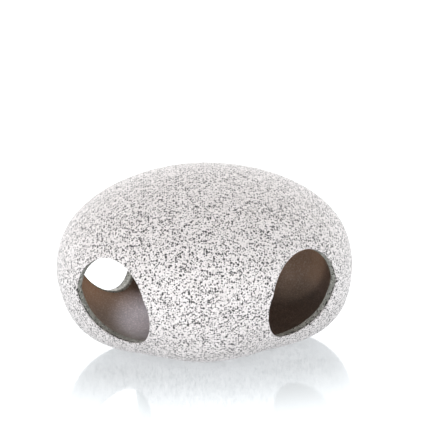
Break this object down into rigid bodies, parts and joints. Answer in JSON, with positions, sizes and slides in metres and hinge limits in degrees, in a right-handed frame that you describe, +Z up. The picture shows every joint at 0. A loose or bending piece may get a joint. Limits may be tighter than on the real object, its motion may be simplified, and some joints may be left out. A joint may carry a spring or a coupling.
{
  "type": "aquarium cave ornament",
  "caption": "Round hollow pebble-shaped cave of cast resin with a speckled stone-effect coat, a flat base and round swim-through openings in its side.",
  "frame": {"origin": "on the table, under the middle of the pebble", "axes": "+Z up, -Y towards the front, which is the pillar between the two lower openings"},
  "size_m": [0.1301, 0.1302, 0.08],
  "materials": {
    "stone_coat": "off-white stone-effect coat with black and grey specks",
    "cast_resin": "bare cast polyester resin",
    "brown_wash": "semi-gloss brown wash",
    "edge_band": "olive grey sealed edge",
    "glue": "set epoxy"
  },
  "bodies": {
    "root": {"stone_coat": "stone_coat", "upper_shell": "cast_resin", "lower_shell": "cast_resin", "inner_wash": "brown_wash", "edge_band_front_left": "edge_band", "edge_band_front_right": "edge_band", "edge_band_rear_left": "edge_band", "glue_line_front": "glue", "glue_line_left": "glue", "glue_line_rear": "glue"}
  },
  "joints": []
}
